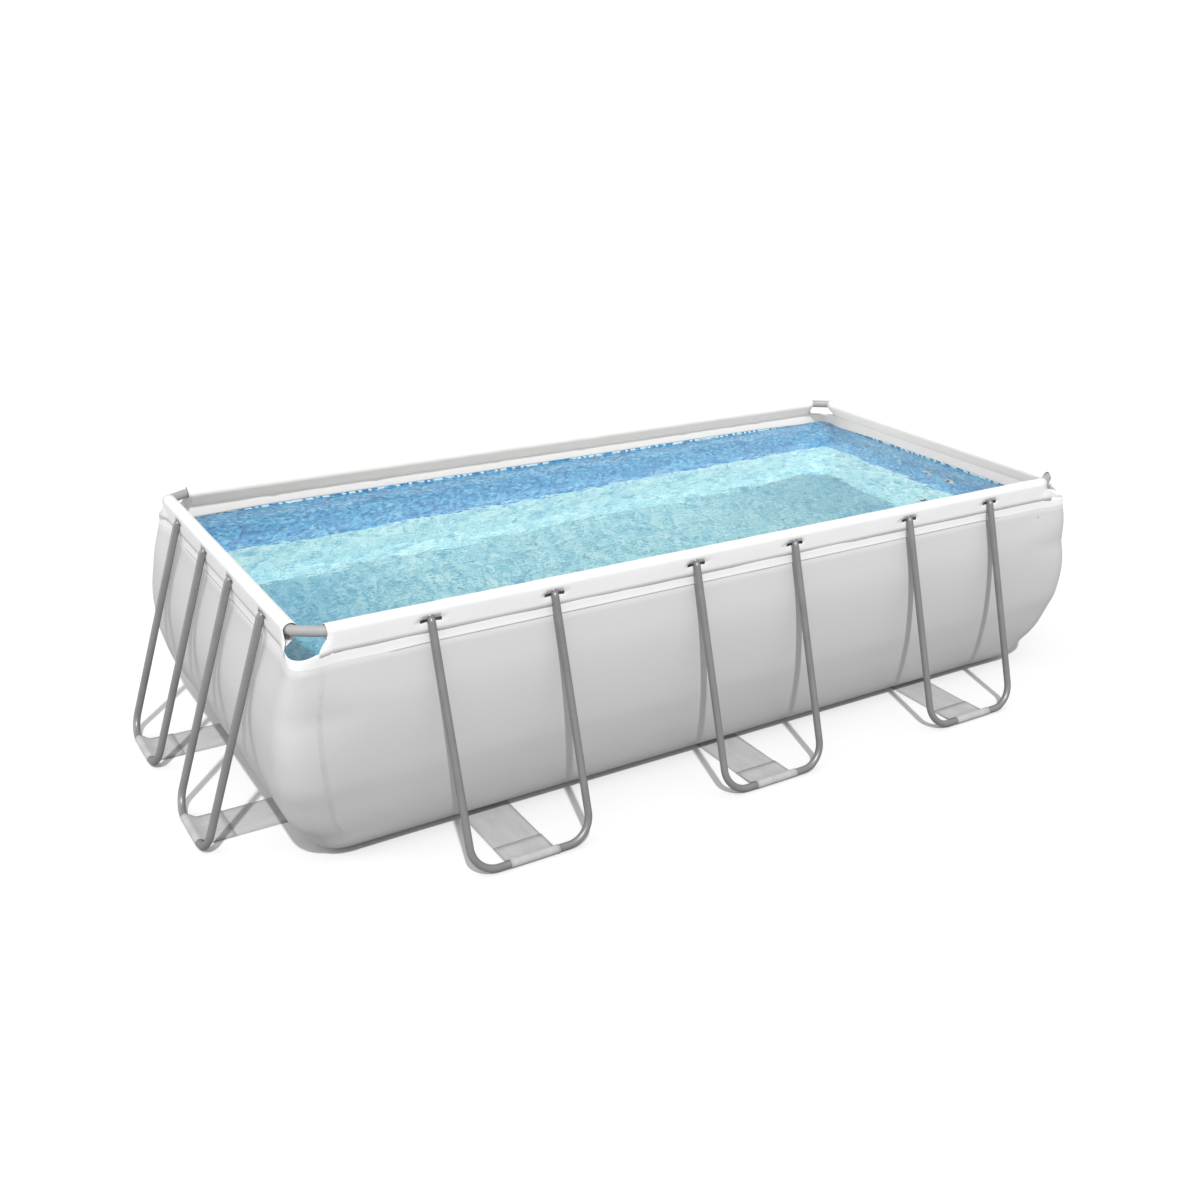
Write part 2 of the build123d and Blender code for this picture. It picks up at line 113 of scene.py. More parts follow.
def curve_through(rows, x):
    """Smooth values between rows of (x, values...), with no overshoot at the ends."""
    if x <= rows[0][0]:
        return rows[0][1:]
    if x >= rows[-1][0]:
        return rows[-1][1:]
    i = max(k for k, row in enumerate(rows) if row[0] <= x)
    a, b = rows[i], rows[i + 1]
    before, after = rows[max(i - 1, 0)], rows[min(i + 2, len(rows) - 1)]
    h = b[0] - a[0]
    t = (x - a[0]) / h
    values = []
    for k in range(1, len(a)):
        slope_a = (b[k] - before[k]) / (b[0] - before[0])
        slope_b = (after[k] - a[k]) / (after[0] - a[0])
        values.append(
            (2 * t**3 - 3 * t**2 + 1) * a[k]
            + (t**3 - 2 * t**2 + t) * h * slope_a
            + (-2 * t**3 + 3 * t**2) * b[k]
            + (t**3 - t**2) * h * slope_b
        )
    return tuple(values)


def make_mesh(name, verts, faces, materials, indices=None, uvs=None, girth=None):
    """A smooth mesh object. uvs holds one (u, v) in metres per vertex, and girth closes them round it."""
    mesh = bpy.data.meshes.new(name)
    mesh.from_pydata([tuple(v) for v in verts], [], faces)
    for material in materials:
        mesh.materials.append(material)
    if indices:
        mesh.polygons.foreach_set("material_index", indices)
    mesh.polygons.foreach_set("use_smooth", [True] * len(faces))
    if uvs:
        layer = mesh.uv_layers.new(name="Metres")
        for face in mesh.polygons:
            places = [uvs[mesh.loops[k].vertex_index] for k in face.loop_indices]
            split = girth and max(u for u, _ in places) - min(u for u, _ in places) > girth / 2
            for k, (u, v) in zip(face.loop_indices, places):
                layer.data[k].uv = (u + girth if split and u < girth / 2 else u, v)
    mesh.update()
    piece = bpy.data.objects.new(name, mesh)
    SCENE.collection.objects.link(piece)
    return piece


def grid_faces(rows, columns, closed=False):
    """Faces of a rows x columns grid of vertices, closed round the columns if asked."""
    faces = []
    for i in range(rows - 1):
        for j in range(columns if closed else columns - 1):
            k = (j + 1) % columns
            faces.append((i * columns + j, i * columns + k, (i + 1) * columns + k, (i + 1) * columns + j))
    return faces


def rim_faces(rows, columns, inner):
    """Faces that close the two edges of a closed double sheet whose inner layer starts at inner."""
    faces = []
    for row, flip in ((0, True), (rows - 1, False)):
        for j in range(columns):
            a, b = row * columns + j, row * columns + (j + 1) % columns
            quad = (a, b, inner + b, inner + a)
            faces.append(tuple(reversed(quad)) if flip else quad)
    return faces


def fillet(points, radii, steps=10):
    """A path with an arc at each inner corner."""
    path = [points[0]]
    for before, corner, after, radius in zip(points, points[1:], points[2:], radii):
        a, b = (before - corner).normalized(), (after - corner).normalized()
        half = a.angle(b) / 2
        reach = radius / math.tan(half)
        centre = corner + (a + b).normalized() * (radius / math.sin(half))
        start = (corner + a * reach - centre).normalized()
        end = (corner + b * reach - centre).normalized()
        for i in range(steps + 1):
            path.append(centre + start.slerp(end, i / steps) * radius)
    path.append(points[-1])
    return path


def sweep(name, path, radius, material, sides=28, caps=True):
    """A round tube along a path, with metre coordinates along and around it."""
    verts, uvs = [], []
    tangent = (path[1] - path[0]).normalized()
    normal = tangent.orthogonal().normalized()
    run = 0.0
    for i, point in enumerate(path):
        ahead = path[min(i + 1, len(path) - 1)] - path[max(i - 1, 0)]
        direction = ahead.normalized()
        normal = (normal - direction * normal.dot(direction)).normalized()
        side = direction.cross(normal)
        run += (point - path[max(i - 1, 0)]).length
        for k in range(sides):
            angle = 2 * math.pi * k / sides
            verts.append(point + (normal * math.cos(angle) + side * math.sin(angle)) * radius)
            uvs.append((angle * radius, run))
    faces = grid_faces(len(path), sides, closed=True)
    if caps:
        faces.append(tuple(reversed(range(sides))))
        faces.append(tuple(range(len(verts) - sides, len(verts))))
    return make_mesh(name, verts, faces, [material], uvs=uvs, girth=2 * math.pi * radius)


# ---------------------------------------------------------------- materials
WATERLINE_HIGHLIGHT = 0.045  # height of the pale tiles painted along the top of the mosaic as a waterline highlight
WELD_HALF = 0.007  # half the height of the pale weld across the mosaic
# painted shade on the floor: how much of the floor's colour shows, from the left end (0) to the right end
# (1), darker at both ends
PAINTED_END_SHADE = [
    (0.05, (0.34, 0.56, 0.70)),
    (0.28, (0.80, 0.84, 0.86)),
    (0.70, (0.80, 0.84, 0.86)),
    (0.95, (0.50, 0.60, 0.66)),
]


class Nodes:
    """A short way to write node trees."""

    def __init__(self, name):
        self.material = bpy.data.materials.new(name)
        self.material.use_nodes = True
        self.tree = self.material.node_tree
        self.shader = self.tree.nodes["Principled BSDF"]

    def add(self, kind, inputs=None, **settings):
        node = self.tree.nodes.new(kind)
        for key, value in settings.items():
            setattr(node, key, value)
        for key, value in (inputs or {}).items():
            if isinstance(value, bpy.types.NodeSocket):
                self.tree.links.new(value, node.inputs[key])
            else:
                node.inputs[key].default_value = value
        return node

    def math(self, operation, a, b=0.0, c=0.0):
        return self.add("ShaderNodeMath", {0: a, 1: b, 2: c}, operation=operation).outputs[0]

    def scaled(self, vector, scale):
        return self.add("ShaderNodeVectorMath", {0: vector, 1: scale}, operation="MULTIPLY").outputs[0]

    def noise(self, vector, scale, detail=3.0, rough=0.55):
        return self.add(
            "ShaderNodeTexNoise", {"Vector": vector, "Scale": scale, "Detail": detail, "Roughness": rough}
        ).outputs["Fac"]

    def ramp(self, value, stops):
        node = self.add("ShaderNodeValToRGB", {"Fac": value})
        elements = node.color_ramp.elements
        while len(elements) < len(stops):
            elements.new(0.5)
        for element, (place, colour) in zip(elements, stops):
            element.position = place
            element.color = (*colour, 1.0)
        return node.outputs["Color"]

    def mix(self, factor, a, b, blend="MIX"):
        node = self.add("ShaderNodeMix", data_type="RGBA", blend_type=blend)
        for socket, value in ((node.inputs[0], factor), (node.inputs[6], a), (node.inputs[7], b)):
            if isinstance(value, bpy.types.NodeSocket):
                self.tree.links.new(value, socket)
            elif isinstance(value, (tuple, list)):
                socket.default_value = (*value, 1.0)
            else:
                socket.default_value = value
        return node.outputs[2]

    def bump(self, height, distance, strength=1.0, normal=None):
        inputs = {"Height": height, "Distance": distance, "Strength": strength}
        if normal:
            inputs["Normal"] = normal
        return self.add("ShaderNodeBump", inputs).outputs["Normal"]

    def wire(self, **sockets):
        names = {"colour": "Base Color", "rough": "Roughness", "normal": "Normal"}
        for key, value in sockets.items():
            target = self.shader.inputs[names.get(key, key)]
            if isinstance(value, bpy.types.NodeSocket):
                self.tree.links.new(value, target)
            else:
                target.default_value = value
        return self.material

    def place(self):
        return self.add("ShaderNodeTexCoord").outputs["Object"]

    def metres(self):
        return self.add("ShaderNodeUVMap", uv_map="Metres").outputs["UV"]


def pvc(name, light, dark, rough=0.42, weave=0.00008):
    """Laminated PVC: a faint reinforcing mesh, gentle creases and slight mottling."""
    n = Nodes(name)
    uv, place = n.metres(), n.place()
    mottle = n.noise(place, 2.2, 4)
    fine = n.noise(place, 60.0, 3)
    tone = n.math("ADD", n.math("MULTIPLY", mottle, 0.8), n.math("MULTIPLY", fine, 0.2))
    colour = n.mix(tone, dark, light)
    split = n.add("ShaderNodeSeparateXYZ", {0: n.scaled(uv, (1700.0, 1700.0, 0.0))})
    threads = n.math("ADD", n.math("SINE", split.outputs[0]), n.math("SINE", split.outputs[1]))
    creases = n.noise(n.scaled(uv, (7.0, 1.2, 1.0)), 1.0, 3, 0.5)
    soft = n.bump(creases, 0.006, 0.3)
    normal = n.bump(threads, weave, 1.0, soft)
    roughness = n.math("MULTIPLY_ADD", fine, 0.12, rough - 0.06)
    n.wire(colour=colour, rough=roughness, normal=normal)
    n.shader.inputs["Specular IOR Level"].default_value = 0.35
    return n.material


def mosaic_colours(n, uv, stops, line):
    """Printed mosaic colours, each tile's random value and the slow drift between patches."""
    warp = n.add("ShaderNodeTexNoise", {"Vector": uv, "Scale": 14.0, "Detail": 2.0}).outputs["Color"]
    shift = n.add("ShaderNodeVectorMath", {0: warp, 1: (0.006, 0.006, 0.0), 2: uv}, operation="MULTIPLY_ADD")
    cells = n.add(
        "ShaderNodeTexVoronoi",
        {"Vector": shift.outputs[0], "Scale": 58.0, "Randomness": 0.55},
        distance="CHEBYCHEV",
        voronoi_dimensions="2D",
    )
    edge = n.add(
        "ShaderNodeTexVoronoi",
        {"Vector": shift.outputs[0], "Scale": 58.0, "Randomness": 0.55},
        feature="DISTANCE_TO_EDGE",
        voronoi_dimensions="2D",
    )
    hue = n.add("ShaderNodeSeparateColor", {0: cells.outputs["Color"]}).outputs[0]
    drift = n.noise(uv, 5.0, 4, 0.6)
    level = n.math("ADD", n.math("MULTIPLY", hue, 0.62), n.math("MULTIPLY", drift, 0.42))
    tiles = n.ramp(level, stops)
    joint = n.ramp(edge.outputs["Distance"], [(0.0, (1, 1, 1)), (0.09, (0, 0, 0))])
    printed = n.mix(n.math("MULTIPLY", joint, 0.35), tiles, line)
    return printed, hue, drift


def soft_bounce(n, colour):
    """The colour, with a pale neutral one for the light that it throws on the sheets around it."""
    return n.mix(n.add("ShaderNodeLightPath").outputs["Is Diffuse Ray"], colour, (0.85, 0.85, 0.85))


def mosaic_floor(name, stops, line):
    """The floor's print, with painted shade darkening it towards both ends."""
    n = Nodes(name)
    colour, _, drift = mosaic_colours(n, n.metres(), stops, line)
    along = n.add("ShaderNodeSeparateXYZ", {0: n.place()}).outputs[0]
    place = n.math("MULTIPLY_ADD", along, 0.25, 0.5)
    # painted shade: the print is multiplied down towards both ends
    shaded = n.add("ShaderNodeVectorMath", {0: colour, 1: n.ramp(place, PAINTED_END_SHADE)}, operation="MULTIPLY")
    rough = n.math("MULTIPLY_ADD", drift, 0.1, 0.3)
    return n.wire(colour=soft_bounce(n, shaded.outputs[0]), rough=rough)


def mosaic_wall(name, stops, line, floor_stops, floor_line):
    """The wall's print: the floor's paler print below a weld, and a ragged painted waterline highlight of
    pale tiles at the top.
    """
    n = Nodes(name)
    uv = n.metres()
    colour, hue, drift = mosaic_colours(n, uv, stops, line)
    low_colour = mosaic_colours(n, uv, floor_stops, floor_line)[0]
    height = n.add("ShaderNodeSeparateXYZ", {0: n.place()}).outputs[2]
    above = n.math("GREATER_THAN", height, WELD_LOW_Z)
    colour = n.mix(above, low_colour, colour)
    away = n.math("ABSOLUTE", n.math("SUBTRACT", height, WELD_LOW_Z))
    weld = n.math("LESS_THAN", away, WELD_HALF)
    colour = n.mix(n.math("MULTIPLY", weld, 0.6), colour, (0.72, 0.92, 0.96))
    # painted highlight: pale tiles scattered near the top, along the waterline
    near_top = n.math("MULTIPLY", n.math("SUBTRACT", height, BAND_BOTTOM - WATERLINE_HIGHLIGHT), 1 / WATERLINE_HIGHLIGHT)
    pale = n.math("GREATER_THAN", n.math("MULTIPLY", hue, near_top), 0.36)
    colour = n.mix(n.math("MULTIPLY", pale, 0.75), colour, (0.72, 0.90, 0.95))
    rough = n.math("MULTIPLY_ADD", drift, 0.1, 0.3)
    return n.wire(colour=soft_bounce(n, colour), rough=rough)


def steel(name):
    """Grey powder-coated tube: fine orange peel, faint run lines along it and a little dust."""
    n = Nodes(name)
    place, uv = n.place(), n.metres()
    dust = n.noise(place, 9.0, 5, 0.6)
    peel = n.noise(place, 900.0, 2)
    lines = n.noise(n.scaled(uv, (260.0, 3.0, 1.0)), 1.0, 2)
    tone = n.math("ADD", n.math("MULTIPLY", dust, 0.7), n.math("MULTIPLY", lines, 0.3))
    colour = n.ramp(tone, [(0.3, (0.22, 0.222, 0.225)), (0.75, (0.29, 0.292, 0.295))])
    rough = n.math("MULTIPLY_ADD", dust, 0.18, 0.30)
    normal = n.bump(peel, 0.0002, 0.5)
    n.wire(colour=colour, rough=rough, normal=normal)
    n.shader.inputs["Metallic"].default_value = 0.35
    return n.material


def plastic(name, light, dark, rough=0.45, grain=0.00012):
    """Moulded plastic: spark-eroded grain and faint flow marks."""
    n = Nodes(name)
    place = n.place()
    flow = n.noise(place, 14.0, 4, 0.6)
    fine = n.noise(place, 1400.0, 2)
    colour = n.mix(flow, dark, light)
    roughness = n.math("MULTIPLY_ADD", flow, 0.15, rough - 0.07)
    n.wire(colour=colour, rough=roughness, normal=n.bump(fine, grain, 0.7))
    return n.material


def webbing(name):
    """Flat woven webbing: ribs along it, picks across it, and scuffed threads."""
    n = Nodes(name)
    uv = n.metres()
    split = n.add("ShaderNodeSeparateXYZ", {0: uv})
    ribs = n.math("SINE", n.math("MULTIPLY", split.outputs[0], 2 * math.pi / 0.004))
    picks = n.math("SINE", n.math("MULTIPLY", split.outputs[1], 2 * math.pi / 0.0026))
    weave = n.math("MULTIPLY_ADD", picks, 0.5, ribs)
    scuff = n.noise(n.scaled(uv, (18.0, 4.0, 1.0)), 1.0, 5, 0.65)
    shade = n.math("MULTIPLY_ADD", weave, 0.06, scuff)
    colour = n.ramp(shade, [(0.25, (0.44, 0.445, 0.44)), (0.8, (0.60, 0.60, 0.59))])
    normal = n.bump(weave, 0.0006, 0.8)
    n.wire(colour=colour, rough=0.78, normal=normal)
    n.shader.inputs["Sheen Weight"].default_value = 0.15
    return n.material


def water_surface(name):
    """Clear water with slow ripples. Lamps shine through it to the liner."""
    n = Nodes(name)
    place = n.place()
    ripples = n.noise(n.scaled(place, (1.0, 1.4, 1.0)), 5.5, 3, 0.5)
    small = n.noise(place, 26.0, 2, 0.5)
    height = n.math("MULTIPLY_ADD", small, 0.12, ripples)
    normal = n.bump(height, 0.012, 0.55)
    n.wire(colour=(0.86, 0.97, 1.0, 1.0), rough=0.03, normal=normal)
    n.shader.inputs["Transmission Weight"].default_value = 1.0
    n.shader.inputs["IOR"].default_value = 1.33
    path = n.add("ShaderNodeLightPath")
    tint = n.mix(path.outputs["Is Diffuse Ray"], (0.80, 0.88, 0.90), (0.93, 0.88, 0.85))
    clear = n.add("ShaderNodeBsdfTransparent", {"Color": tint})
    either = n.math("MAXIMUM", path.outputs["Is Shadow Ray"], path.outputs["Is Diffuse Ray"])
    mixed = n.add(
        "ShaderNodeMixShader", {0: either, 1: n.shader.outputs["BSDF"], 2: clear.outputs["BSDF"]}
    )
    output = n.tree.nodes["Material Output"]
    n.tree.links.new(mixed.outputs["Shader"], output.inputs["Surface"])
    return n.material


def rubber(name):
    """Dull black rubber with a slight bloom."""
    n = Nodes(name)
    bloom = n.noise(n.place(), 120.0, 4)
    colour = n.ramp(bloom, [(0.3, (0.02, 0.02, 0.02)), (0.8, (0.05, 0.05, 0.05))])
    return n.wire(colour=colour, rough=0.7, normal=n.bump(bloom, 0.0002, 0.6))


WALL_GREY = pvc("pvc_grey", (0.60, 0.60, 0.605), (0.565, 0.565, 0.57))
BAND_WHITE = pvc("pvc_white", (0.90, 0.90, 0.905), (0.86, 0.86, 0.865), 0.4)
# the pocket's inside: painted lighter than the outer white, standing in for light that its shaded place lacks
FLAP_PAINTED_BRIGHT = pvc("pvc_inner_flap_painted_light", (0.97, 0.96, 0.95), (0.93, 0.92, 0.91), 0.5)
WALL_STOPS = [
    (0.15, (0.012, 0.115, 0.34)),
    (0.40, (0.028, 0.26, 0.57)),
    (0.62, (0.075, 0.42, 0.74)),
    (0.90, (0.32, 0.70, 0.88)),
]
FLOOR_STOPS = [
    (0.12, (0.07, 0.30, 0.44)),
    (0.34, (0.22, 0.55, 0.66)),
    (0.60, (0.45, 0.76, 0.78)),
    (0.90, (0.74, 0.92, 0.90)),
]
TILE_WALL = mosaic_wall("mosaic_wall", WALL_STOPS, (0.55, 0.82, 0.88), FLOOR_STOPS, (0.80, 0.93, 0.93))
TILE_FLOOR = mosaic_floor("mosaic_floor", FLOOR_STOPS, (0.80, 0.93, 0.93))
STEEL = steel("powder_coated_steel")
JOINT = plastic("joint_plastic", (0.42, 0.41, 0.41), (0.34, 0.335, 0.335), 0.5)
PIN = plastic("pin_plastic", (0.05, 0.05, 0.055), (0.03, 0.03, 0.033), 0.35)
FITTING = plastic("fitting_plastic", (0.74, 0.74, 0.73), (0.66, 0.66, 0.65), 0.4)
PLUG = plastic("plug_plastic", (0.04, 0.09, 0.22), (0.025, 0.06, 0.16), 0.35)
STRAP = webbing("strap_webbing")
RUBBER = rubber("seal_rubber")
WATER = water_surface("water")

# ---------------------------------------------------------------- liner
# height, outwards at mid side (short, long), outwards at the corners (short, long), corner radius
LEVELS = [
    (0.0044, -0.092, -0.145, -0.096, -0.143, 0.086),
    (0.025, -0.062, -0.088, -0.067, -0.084, 0.104),
    (0.070, -0.028, -0.038, -0.035, -0.032, 0.125),
    (0.190, 0.055, 0.014, 0.062, 0.008, 0.130),
    (0.330, 0.103, 0.052, 0.106, 0.040, 0.138),
    (0.420, 0.118, 0.068, 0.120, 0.048, 0.138),
    (0.580, 0.118, 0.076, 0.118, 0.060, 0.128),
    (0.720, 0.086, 0.068, 0.098, 0.072, 0.115),
    (0.840, 0.044, 0.041, 0.080, 0.070, 0.105),
    (0.897, 0.025, 0.025, 0.068, 0.062, 0.095),
    (0.945, 0.024, 0.024, 0.062, 0.056, 0.090),
]
SIDE_STEPS = {"front": 96, "back": 96, "left": 48, "right": 48}
CORNER_STEPS = 18
CORNER_SPREAD, CORNER_EASE = 1.22, 0.8


def ring_points(z, inset=0.0):
    """One level of the liner's wall, anticlockwise from the front left corner's end of the front side."""
    out_x, out_y, flare_x, flare_y, radius = curve_through(LEVELS, z)
    half_x, half_y = HALF_X + out_x, HALF_Y + out_y
    lean = 0.008 * smooth((z - 0.7) / 0.15)
    reach = CORNER_REACH + 0.3 * smooth((BAND_BOTTOM - z) / 0.2)
    corners = ((1, -1, -90), (1, 1, 0), (-1, 1, 90), (-1, -1, 180))
    raw = []
    for index, (side, corner) in enumerate(zip(("front", "right", "back", "left"), corners)):
        before, turn = corners[index - 1], corner[2]
        start = arc_point(before, half_x, half_y, radius, before[2] + 90)
        end = arc_point(corner, half_x, half_y, radius, turn)
        for i in range(SIDE_STEPS[side]):
            t = i / SIDE_STEPS[side]
            raw.append(start.lerp(end, t))
        for i in range(CORNER_STEPS):
            raw.append(arc_point(corner, half_x, half_y, radius, turn + 90 * i / CORNER_STEPS))
    points = []
    for x, y in raw:
        near_x = smooth(1 - (half_x - abs(x)) / reach)
        near_y = smooth(1 - (half_y - abs(y)) / reach)
        x += math.copysign((flare_x - out_x) * near_y * near_x, x) + lean * near_y * near_x
        y += math.copysign((flare_y - out_y) * near_x * near_y, y)
        points.append(Vector((x, y)))
    if inset:
        points = offset_loop(points, inset)
    return points


def arc_point(corner, half_x, half_y, radius, angle):
    """A point of a rounded corner, whose curve eases into the straight sides."""
    x_sign, y_sign, _ = corner
    a = math.radians(angle)
    reach = radius * CORNER_SPREAD
    across = abs(math.cos(a)) ** CORNER_EASE * reach
    along = abs(math.sin(a)) ** CORNER_EASE * reach
    return Vector((x_sign * (half_x - reach + across), y_sign * (half_y - reach + along)))


def offset_loop(points, inset):
    """The same closed loop moved inwards."""
    moved = []
    for i, p in enumerate(points):
        along = (points[(i + 1) % len(points)] - points[i - 1]).normalized()
        moved.append(p + Vector((-along.y, along.x)) * inset)
    return moved


def ruffle(point, z):
    """Slight unevenness of the stretched sheet, outwards, strongest half way down."""
    strength = 0.0035 * math.sin(math.pi * min(max(z / BAND_BOTTOM, 0), 1))
    return strength * noise.noise(Vector((point.x * 2.3, point.y * 2.3, z * 1.6)))


def wall_levels():
    count = 40
    low, high = LEVELS[0][0], BAND_BOTTOM
    return [low + (high - low) * (i / count) ** 1.35 for i in range(count + 1)]


def wall_loop(z, inset):
    """The vertices of one level of the wall, with the sheet's unevenness."""
    loop = [Vector((p.x, p.y, z)) for p in ring_points(z)]
    flat = offset_loop([p.to_2d() for p in loop], inset)
    uneven = []
    for i, p in enumerate(flat):
        along = (flat[(i + 1) % len(flat)] - flat[i - 1]).normalized()
        outwards = Vector((along.y, -along.x))
        uneven.append(Vector((*(p + outwards * ruffle(loop[i], z)), z)))
    return uneven


def build_wall():
    """The liner's wall: grey outside, printed mosaic inside."""
    heights = wall_levels()
    verts, uvs = [], []
    for inset in (0.0, SHEET):
        climb = 0.0
        last = None
        for z in heights:
            loop = wall_loop(z, inset)
            columns = len(loop)
            if last:
                climb += (loop[columns // 8] - last[columns // 8]).length
            last = loop
            run = 0.0
            for i, p in enumerate(loop):
                run += (p - loop[i - 1]).length if i else 0.0
                verts.append(p)
                uvs.append((run, climb))
    rows = len(heights)
    inner = rows * columns
    outer_faces = grid_faces(rows, columns, closed=True)
    faces = outer_faces + [tuple(v + inner for v in reversed(f)) for f in outer_faces]
    indices = [0] * len(outer_faces) + [1] * len(outer_faces)
    faces += rim_faces(rows, columns, inner)
    indices += [0] * (2 * columns)
    girth = uvs[columns - 1][0] + (verts[0] - verts[columns - 1]).length
    piece = make_mesh("liner_wall", verts, faces, [WALL_GREY, TILE_WALL], indices, uvs, girth)
    return piece, girth, climb


def build_floor():
    """The floor sheet, a fan of rings from the wall's lower edge to the middle."""
    z = LEVELS[0][0] + 0.001
    edge = [Vector((*p, z)) for p in ring_points(LEVELS[0][0], SHEET)]
    columns = len(edge)
    shares = [1.0, 0.985, 0.93, 0.8, 0.6, 0.4, 0.2, 0.06]
    verts = []
    for share in shares:
        lift = 0.0012 * math.sin(math.pi * share)
        for p in edge:
            bumpy = 0.0015 * noise.noise(Vector((p.x * share * 3, p.y * share * 3, 0.0))) * (1 - share) ** 0.5
            verts.append(Vector((p.x * share, p.y * share, z + lift + bumpy)))
    faces = grid_faces(len(shares), columns, closed=True)
    faces.append(tuple(range(len(verts) - columns, len(verts))))
    uvs = [(v.x, v.y) for v in verts]
    return make_mesh("liner_floor", verts, faces, [TILE_FLOOR], uvs=uvs)


# ---------------------------------------------------------------- white top band
# the pocket's cut edge, from the sharp corner: over the rail, and at the weld
POCKET_ENDS = {
    "front": (0.104, 0.064),
    "back": (0.104, 0.064),
    "left": (0.070, 0.034),
    "right": (0.070, 0.034),
}
CORNER_REACH = 0.16  # how far along a side its corner flare is felt
END_LEAN = 0.05  # length of pocket that leans with its slanted cut edge
SLIT_HALF = 0.045
SLIT_LOW, SLIT_HIGH = 0.9755, 0.9905


def pocket_profile():
    """(out, height) round the pocket, from the weld's outside, over the rail, to its inside."""
    centre = Vector((0.0, RAIL_Z))
    start = Vector((BAND_OUT + 0.0004, WELD_Z - 0.014))
    finish = Vector((BAND_OUT - 0.0008, WELD_Z - 0.004))
    points = [start]
    for corner, sign in ((start, 1), (finish, -1)):
        gap = corner - centre
        base = math.atan2(gap.y, gap.x)
        turn = math.acos(SLEEVE_R / gap.length)
        angle = base + sign * turn
        if sign > 0:
            first = angle
        else:
            last = angle
    last += 2 * math.pi if last < first else 0
    tangent = centre + Vector((math.cos(first), math.sin(first))) * SLEEVE_R
    for z in (SLIT_LOW, SLIT_HIGH):
        if z < tangent.y:
            t = (z - start.y) / (tangent.y - start.y)
            points.append(start.lerp(tangent, t))
    points.insert(1, start.lerp(points[1], 0.5))
    steps = 26
    arc = []
    for i in range(steps + 1):
        a = first + (last - first) * i / steps
        arc.append(centre + Vector((math.cos(a), math.sin(a))) * SLEEVE_R)
    for p in arc:
        for z in (SLIT_LOW, SLIT_HIGH):
            if p.x > 0 and points[-1].y < z - 1e-6 and p.y > z + 1e-6:
                t = (z - points[-1].y) / (p.y - points[-1].y)
                points.append(points[-1].lerp(p, t))
        if (p - points[-1]).length > 1e-5:
            points.append(p)
    points += [arc[-1].lerp(finish, 0.5), finish]
    return points


def side_stations(side):
    """Where the pocket's grid lines are along a side, with lines at every slit's ends."""
    end = SIDES[side][3] - POCKET_ENDS[side][0]
    stations = {-end, end}
    legs = leg_places(side)
    for leg in legs:
        for offset in (-SLIT_HALF, -0.032, -0.022, -0.011, 0.0, 0.011, 0.022, 0.032, SLIT_HALF):
            stations.add(round(leg + offset, 5))
    count = int(2 * end / 0.03)
    for i in range(1, count):
        s = -end + 2 * end * i / count
        if min(abs(s - leg) for leg in legs) > SLIT_HALF + 0.012:
            stations.add(round(s, 5))
    return sorted(stations)


def build_pocket(side):
    """One side's pocket round the rails, a thin sheet with a slit over each leg."""
    profile = pocket_profile()
    stations = side_stations(side)
    legs = leg_places(side)
    half = SIDES[side][3]
    end = stations[-1]
    top_end, weld_end = POCKET_ENDS[side]
    verts, uvs = [], []
    lengths = [0.0]
    for a, b in zip(profile, profile[1:]):
        lengths.append(lengths[-1] + (b - a).length)
    for layer in (0.0, SHEET):
        for s in stations:
            for p, length in zip(profile, lengths):
                out, z, place = p.x, p.y, s
                if abs(s) > end - END_LEAN:
                    slant = smooth((RAIL_Z - 0.01 - z) / 0.06) if length < lengths[-1] / 2 else 0.0
                    share = (abs(s) - (end - END_LEAN)) / END_LEAN
                    place += math.copysign((top_end - weld_end) * slant * share, s)
                away = Vector((out, z - RAIL_Z))
                low = smooth((RAIL_Z - 0.03 - z) / 0.04)
                nearest = min(abs(place - leg) for leg in legs)
                press = 0.007 * math.exp(-((nearest / 0.03) ** 2)) * smooth((z - WELD_Z - 0.004) / 0.02)
                press *= smooth((RAIL_Z - 0.015 - z) / 0.02) if out > 0.0 else 0.0
                creep = (1 - low) * 0.0012 * noise.noise(Vector((place * 9, z * 25, out * 25)))
                if z > RAIL_Z - 0.045:
                    push = away.normalized() * (creep - layer)
                else:
                    push = Vector((-layer if length < lengths[-1] / 2 else layer * 0.3, 0.0))
                x = out + push.x - press + low * flare_at(side, place)
                drop = low * corner_drop(half - abs(place))
                verts.append(at(side, place, x, z + push.y - drop))
                uvs.append((place, length))
    columns = len(profile)
    rows = len(stations)
    inner = rows * columns
    faces, indices, open_cells = [], [], set()
    for i in range(rows - 1):
        for j in range(columns - 1):
            middle_s = (stations[i] + stations[i + 1]) / 2
            middle_z = (profile[j].y + profile[j + 1].y) / 2
            in_slit = min(abs(middle_s - leg) for leg in legs) < SLIT_HALF
            if in_slit and profile[j].x > 0.012 and SLIT_LOW < middle_z < SLIT_HIGH:
                open_cells.add((i, j))
    flap = max(j for j, p in enumerate(profile) if p.x > -0.012 and p.y > RAIL_Z)
    for i in range(rows - 1):
        for j in range(columns - 1):
            if (i, j) in open_cells:
                continue
            a, b = i * columns + j, (i + 1) * columns + j
            faces.append((a, b, b + 1, a + 1))
            # faces past the flap take the inside's sheet, painted lighter than the outer white
            indices.append(1 if j > flap else 0)
            faces.append((inner + a, inner + a + 1, inner + b + 1, inner + b))
            indices.append(1)
            for (di, dj), (p, q) in (
                ((-1, 0), (a, a + 1)),
                ((1, 0), (b + 1, b)),
                ((0, -1), (b, a)),
                ((0, 1), (a + 1, b + 1)),
            ):
                beside = (i + di, j + dj)
                outside = not (0 <= beside[0] < rows - 1 and 0 <= beside[1] < columns - 1)
                if outside or beside in open_cells:
                    faces.append((p, q, inner + q, inner + p))
                    indices.append(0)
    piece = make_mesh(f"pocket_{side}", verts, faces, [BAND_WHITE, FLAP_PAINTED_BRIGHT], indices, uvs)
    return piece


def corner_drop(distance):
    """How far the weld sags, by the distance from the sharp corner."""
    return 0.010 * smooth(1 - distance / 0.075)


